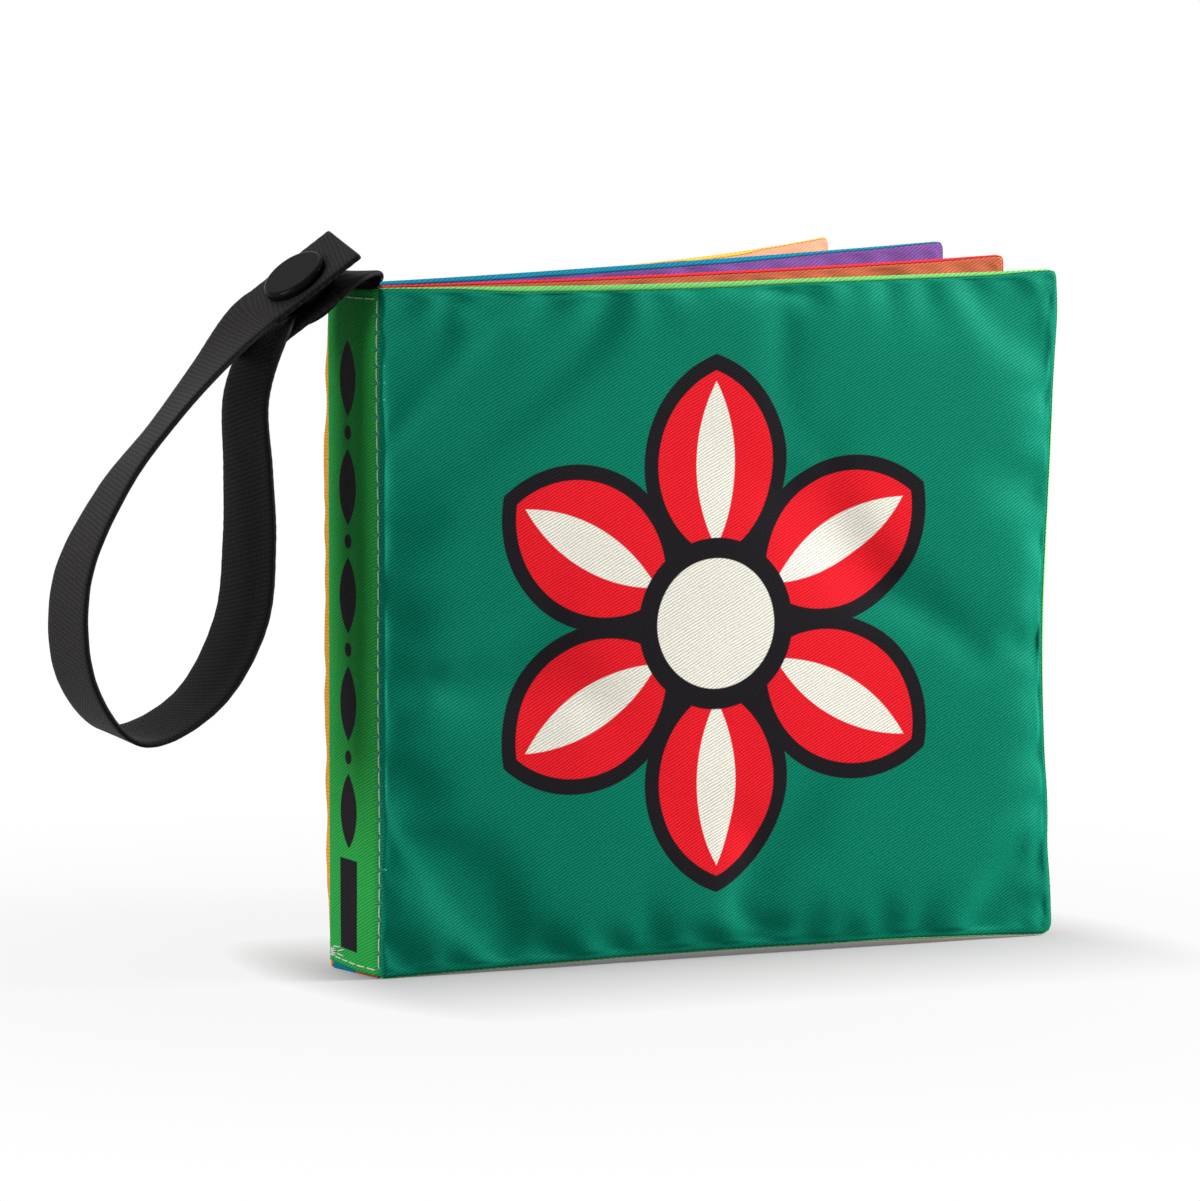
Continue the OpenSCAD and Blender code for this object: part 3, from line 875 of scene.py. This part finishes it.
def stitch(line, radius=THREAD_R, sides=8):
    """Points and faces of one stitch: a short thread with round ends along a few points."""
    line = [np.array(p, float) for p in line]
    rings, faces = [], []
    for k, p in enumerate(line):
        t = unit(line[min(k + 1, len(line) - 1)] - line[max(k - 1, 0)])
        a = unit(np.cross(t, (0.3, 0.2, 1) if abs(t[2]) < 0.9 else (1, 0.2, 0)))
        b = np.cross(t, a)
        r = radius * (0.55 if k in (0, len(line) - 1) else 1)
        rings.append([p + r * (a * math.cos(q) + b * math.sin(q))
                      for q in (2 * math.pi * m / sides for m in range(sides))])
    points = [p for ring in rings for p in ring]
    for k in range(len(line) - 1):
        for m in range(sides):
            w = (m + 1) % sides
            faces.append([k * sides + m, k * sides + w, (k + 1) * sides + w, (k + 1) * sides + m])
    last = (len(line) - 1) * sides
    faces.append(list(range(sides - 1, -1, -1)))
    faces.append([last + m for m in range(sides)])
    return points, faces


def stitch_row(name, lines, material, radius=THREAD_R):
    points, faces = [], []
    for line in lines:
        p, f = stitch(line, radius)
        faces += [[k + len(points) for k in q] for q in f]
        points += p
    row = mesh_object(name, points, faces, material)
    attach(row, "spine")


def on_strip(y, z, lift=0.0):
    """A point on the outer face of the spine strip."""
    return (-(strip_depth(y, z) + lift), y, z)


def bowed(a, b, lift=0.05, sink=0.3, count=7):
    """A thread lying on the strip from one hole to the next, sinking into both."""
    line = []
    for k in range(count):
        t = k / (count - 1)
        y, z = a[0] + (b[0] - a[0]) * t, a[1] + (b[1] - a[1]) * t
        line.append(on_strip(y, z, lift + THREAD_R * 0.3 - sink * abs(2 * t - 1) ** 5))
    return line


SIDE_Y = STRIP_EDGE - 0.28
SIDE_LOW, SIDE_HIGH = STRIP_FOOT + 1.2, book_h - 1.7


def side_y(sign, z):
    return sign * (SIDE_Y + 0.06 * math.sin(z * 0.11 + sign) + 0.05 * math.sin(z * 0.045))


def make_sewing():
    count = round((SIDE_HIGH - SIDE_LOW) / STITCH_PITCH)
    pitch = (SIDE_HIGH - SIDE_LOW) / count
    for sign, name in ((-1, "front"), (1, "back")):
        rows, knots = [], []
        for k in range(count):
            low = SIDE_LOW + k * pitch + (pitch - STITCH_L) / 2
            a, b = (side_y(sign, low), low), (side_y(sign, low + STITCH_L), low + STITCH_L)
            rows.append(bowed(a, b))
            z = SIDE_LOW + k * pitch
            y = side_y(sign, z)
            knot = [on_strip(y - sign * 0.8, z - 0.06, -0.03), on_strip(y - sign * 0.4, z - 0.03, 0.1)]
            knot.append(on_strip(y, z, 0.16))
            knot += [(0.25, y + sign * 0.72, z + 0.05), (0.62, y + sign * 0.8, z + 0.08)]
            knots.append(knot)
        stitch_row("stitches_" + name, rows, white_thread)
        stitch_row("bobbin_thread_" + name, knots, teal_thread if sign < 0 else white_thread, radius=0.12)
    for z, tilt, name in ((SIDE_HIGH, 0, "top"), (SIDE_LOW, STRIP_TILT, "bottom")):
        lines = []
        number = 6
        step = 2 * (SIDE_Y - 0.2) / number
        for k in range(number):
            y = -SIDE_Y + 0.2 + k * step
            a, b = z + tilt * k / number, z + tilt * (k + 1) / number
            lines.append(bowed((y + 0.12, a), (y + step - 0.12, b), 0.1))
        stitch_row("stitches_" + name, lines, white_thread)
    low = SIDE_LOW + STRIP_TILT
    # The stitches sewn to and fro at the back corner of the foot, each from one hole to another
    tack = [((7.6, 0.0), (5.0, 0.1)), ((7.5, 0.35), (5.2, 0.4)), ((7.7, 0.75), (5.1, 0.8)),
            ((7.4, 1.1), (5.3, 1.15)), ((6.3, 1.6), (3.4, 1.7)), ((4.4, 0.9), (1.7, 1.4)),
            ((4.6, 0.5), (2.0, 0.2)), ((7.2, 1.3), (6.0, 0.2))]
    rows = [bowed((a[0], low + a[1]), (b[0], low + b[1]), 0.14) for a, b in tack]
    stitch_row("backtack", rows, white_thread)


make_sewing()


# The fold of the inner sheet behind the strip, four cloths
STRAP_SEWN = 10                    # how far the sewn end of the webbing reaches down behind the strip


def make_fold():
    fold_top = book_h - 0.4
    outer, inner = (strip_in, strip_in + 0.8), (strip_in + 0.82, strip_in + 1.65)
    layers = [("fold_front_outer", brown, -1, *outer), ("fold_back_outer", blue, 1, *outer),
              ("fold_front_inner", red, -1, *inner), ("fold_back_inner", purple, 1, *inner)]
    for name, material, sign, x0, x1 in layers:
        y0, y1 = sorted((0.0, sign * (strip_y - 0.1)))
        # The outer cloths end under the sewn end of the webbing
        top = fold_top - (STRAP_SEWN + 0.1 if x0 == strip_in else 0)
        corners = [(x, y, z) for x in (x0, x1) for y in (y0, y1) for z in (0.02, top)]
        faces = [[0, 1, 3, 2], [4, 6, 7, 5], [0, 4, 5, 1], [2, 3, 7, 6], [0, 2, 6, 4], [1, 5, 7, 3]]
        marks = [(y, z, 0) for x, y, z in corners]
        obj = mesh_object(name, corners, faces, material, marks)
        bevel = obj.modifiers.new("round", "BEVEL")
        bevel.width = 0.3 * MM
        bevel.segments = 3
        apply_modifiers(obj)
        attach(obj, "spine")
        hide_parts("pages")


make_fold()


# The webbing, along the route that the part's own source gives it
SNAP_AZ, SNAP_EL, SNAP_ROLL = -19, 37, 5.4
CAP_R, STUD_T, SOCKET_T, FIT = 6.2, 0.9, 1.85, 0.05
STRAP_TAIL = 11
STEPS = 14


def width_dir(t, turn):
    side = np.array([0, -1, 0.0])
    w = unit(side - (t @ side) * t)
    n = np.cross(t, w)
    return w * math.cos(math.radians(turn)) + n * math.sin(math.radians(turn))


def strap_route():
    az, el = math.radians(SNAP_AZ), math.radians(SNAP_EL)
    t = np.array([math.cos(el) * math.cos(az), math.cos(el) * math.sin(az), math.sin(el)])
    w = width_dir(t, SNAP_ROLL)
    n = np.cross(w, t)
    snap_at = np.array([-10.3, -1, book_h - 1.5])
    snap_up = snap_at + (strap_t + 2 * FIT + STUD_T + SOCKET_T + FIT) * n
    strap_x = strip_in + FIT + strap_t / 2
    flat_step = (CAP_R + 0.4) / 2
    rising = [[strap_x, 0, -STRAP_SEWN, 0], [strap_x, 0, -4, 0], [strap_x, 0, 0, 0],
              [-0.9, -0.2, 1.8, 0], [-2.7, -0.9, 2.7, -2]]
    loop = [[-19, 0.4, -8.9, 0], [-22.8, 0.3, -19.5, 0], [-22.6, 0, -32.5, -3], [-22.5, -0.2, -45.5, -6],
            [-24.6, -0.4, -60.5, -6.5], [-34, -0.3, -74.5, -4], [-48.6, 0, -79.7, -6],
            [-57.8, 0.2, -69.5, -3], [-58.8, 0.3, -51.5, -5], [-50.2, 0.3, -35, -10],
            [-39.4, 0.3, -23, -13], [-29, 0.8, -12.5, -6]]
    from_top = lambda points: [[x, y, z + book_h, turn] for x, y, z, turn in points]
    on_snap = lambda p, d, turn: [*(p + d * t), turn]
    route = from_top(rising) + [on_snap(snap_at, k * flat_step, -SNAP_ROLL) for k in range(2, -4, -1)]
    route += from_top(loop) + [on_snap(snap_up, k * flat_step, SNAP_ROLL) for k in range(-3, 3)]
    return np.array(route + [on_snap(snap_up, STRAP_TAIL, SNAP_ROLL)])


def between(a, b, c, d, share):
    """A point between b and c on the centripetal curve through four points, which never doubles back."""
    gap = lambda p, q: max(1e-6, math.sqrt(np.linalg.norm(q[:3] - p[:3])))
    ta, tb = -gap(a, b), 0.0
    tc = gap(b, c)
    td = tc + gap(c, d)
    t = tc * share
    mix = lambda p, q, t0, t1: p + (q - p) * ((t - t0) / (t1 - t0))
    ab, bc, cd = mix(a, b, ta, tb), mix(b, c, tb, tc), mix(c, d, tc, td)
    return mix(mix(ab, bc, ta, tc), mix(bc, cd, tb, td), tb, tc)


def make_strap():
    route = strap_route()
    line = []
    for i in range(len(route) - 1):
        b, c = route[i], route[i + 1]
        a = route[i - 1] if i else 2 * b - c
        d = route[i + 2] if i + 2 < len(route) else 2 * c - b
        for k in range(STEPS):
            line.append(between(a, b, c, d, k / STEPS))
    line.append(route[-1])
    line = np.array(line)
    half_w, half_t, edge = strap_w / 2, strap_t / 2, 0.42
    flat = np.linspace(-(half_w - edge), half_w - edge, 11)
    bend = [math.pi / 2 * (1 - k / 3) for k in range(1, 6)]
    outline = [(x, half_t - 0.04 * (1 - (x / half_w) ** 2)) for x in flat]
    outline += [(half_w - edge + edge * math.cos(q), half_t * math.sin(q)) for q in bend]
    outline += [(x, -half_t + 0.04 * (1 - (x / half_w) ** 2)) for x in flat[::-1]]
    outline += [(-(half_w - edge) - edge * math.cos(q), -half_t * math.sin(q)) for q in bend]
    centres, frames, marks, outlines = [], [], [], []
    travelled = 0
    for i, p in enumerate(line):
        t = unit(line[min(i + 1, len(line) - 1)][:3] - line[max(i - 1, 0)][:3])
        w = width_dir(t, p[3])
        if i:
            travelled += np.linalg.norm(p[:3] - line[i - 1][:3])
        shrink = 0.75 if i in (0, len(line) - 1) else 1
        centres.append(p[:3])
        frames.append((w, np.cross(t, w)))
        marks.append(travelled)
        selvedge = 1 + 0.006 * math.sin(2 * math.pi * travelled / (2 * WEB_RIB))
        drawn_in = 0.25 * (1 - shrink)
        outlines.append([(x * selvedge - math.copysign(drawn_in, x), y * shrink) for x, y in outline])
    strap = sweep("webbing_loop", centres, frames, outlines, webbing, marks)
    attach(strap, "spine")
    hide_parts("strap")


make_strap()

for node in ("snap_cap", "snap_socket", "snap_stud", "snap_back_cap"):
    obj = frame["nodes"][node]
    obj.data.materials.clear()
    obj.data.materials.append(plastic)


# Floor, background and light
STAGE_MIDDLE = (45, -10)
STAGE_SIZE = 30000
COVER_L = 140
PAINTED_SHADOW_REACH = 60                   # how far from the foot of the front cover the floor's glow is cut, a painted shadow over the real one
PAINTED_SHADOW_SHARE = (0.12, 0.88)         # self-lit share of the floor at the foot, low for the painted shadow, and beyond it
PAINTED_SHADOW_SIDE = 3                     # how much faster that share rises past the ends of the cover
CLEAR_FROM, CLEAR_TO = 60, 260     # the floor's painted shade near the object fades to plain white over these distances
FLOOR_BASE = 0.34


def stage_material():
    """A white floor: plain to the light, and to the camera more and more self-lit away from the object.
    Near the object its glow is cut, a painted shade, most at the front cover's foot, a painted shadow over
    the real one.
    """
    g = Graph("floor")
    x, y, _ = g.split(g.position())
    # How far a place lies outside the foot of the front cover, from the spine to the fore edge
    c, s = math.cos(front_cover.angle), math.sin(front_cover.angle)
    from_root = g.math("SUBTRACT", y, front_cover.root[1])
    along = g.math("ADD", g.math("MULTIPLY", x, c), g.math("MULTIPLY", from_root, s))
    off = g.math("SUBTRACT", g.math("MULTIPLY", from_root, c), g.math("MULTIPLY", x, s))
    past = g.math("MAXIMUM", g.math("MULTIPLY", along, -1), g.math("SUBTRACT", along, COVER_L))
    past = g.math("MULTIPLY", g.math("MAXIMUM", past, 0), PAINTED_SHADOW_SIDE)
    beside = g.math("SQRT", g.math("ADD", g.math("MULTIPLY", off, off), g.math("MULTIPLY", past, past)))
    x, y = g.math("SUBTRACT", x, STAGE_MIDDLE[0]), g.math("SUBTRACT", y, STAGE_MIDDLE[1])
    away = g.math("SQRT", g.math("ADD", g.math("MULTIPLY", x, x), g.math("MULTIPLY", y, y)))
    path = g.add("ShaderNodeLightPath").outputs
    seen = g.math("MAXIMUM", path["Is Glossy Ray"], path["Is Transmission Ray"])
    seen = g.math("MAXIMUM", path["Is Camera Ray"], seen)
    # painted shadow: the floor's glow is cut near the front cover's foot, more than elsewhere near the
    # object
    painted_shadow_share = g.span(beside, 0, PAINTED_SHADOW_REACH, *PAINTED_SHADOW_SHARE)
    share = g.math("MULTIPLY", seen, g.span(away, CLEAR_FROM, CLEAR_TO, painted_shadow_share, 1, smooth=True))
    g.put(g.shader.inputs["Base Color"], g.shade((FLOOR_BASE,) * 3, g.math("SUBTRACT", 1, share)))
    g.shader.inputs["Roughness"].default_value = 0.9
    g.shader.inputs["Specular IOR Level"].default_value = 0
    g.shader.inputs["Emission Color"].default_value = (1, 1, 1, 1)
    g.put(g.shader.inputs["Emission Strength"], share)
    return g.material


def make_stage():
    corners = [(x * STAGE_SIZE, y * STAGE_SIZE, 0) for x, y in ((-1, -1), (1, -1), (1, 1), (-1, 1))]
    floor = mesh_object("floor", corners, [[0, 1, 2, 3]], stage_material())
    world = bpy.data.worlds.new("world")
    world.use_nodes = True
    bpy.context.scene.world = world
    tree = world.node_tree
    ground = tree.nodes["Background"]
    path = tree.nodes.new("ShaderNodeLightPath").outputs
    seen = path["Is Camera Ray"]
    for other in ("Is Glossy Ray", "Is Transmission Ray"):
        either = tree.nodes.new("ShaderNodeMath")
        either.operation = "MAXIMUM"
        tree.links.new(seen, either.inputs[0])
        tree.links.new(path[other], either.inputs[1])
        seen = either.outputs[0]
    strength = tree.nodes.new("ShaderNodeMapRange")
    strength.inputs["To Min"].default_value = WORLD_LIGHT
    strength.inputs["To Max"].default_value = 1.0
    tree.links.new(seen, strength.inputs["Value"])
    ground.inputs["Color"].default_value = (1, 1, 1, 1)
    tree.links.new(strength.outputs[0], ground.inputs["Strength"])


def lamp(name, place, aim, size, power):
    light = bpy.data.lights.new(name, "AREA")
    light.shape = "RECTANGLE"
    light.size, light.size_y = size[0] * MM, size[1] * MM
    light.energy = power
    obj = bpy.data.objects.new(name, light)
    bpy.context.scene.collection.objects.link(obj)
    obj.location = Vector(place) * MM
    obj.rotation_mode = "QUATERNION"
    obj.rotation_quaternion = (Vector(aim) - Vector(place)).to_track_quat("-Z", "Y")


WORLD_LIGHT = 0.13
make_stage()
MIDDLE = (40, 0, 60)
lamp("key", (640, -255, 360), MIDDLE, (220, 220), 12)
lamp("fill", (-1000, 90, 380), MIDDLE, (500, 500), 9.5)
lamp("top", (20, 330, 1050), MIDDLE, (700, 700), 3)

bpy.context.scene.view_settings.view_transform = "Standard"
make_camera()
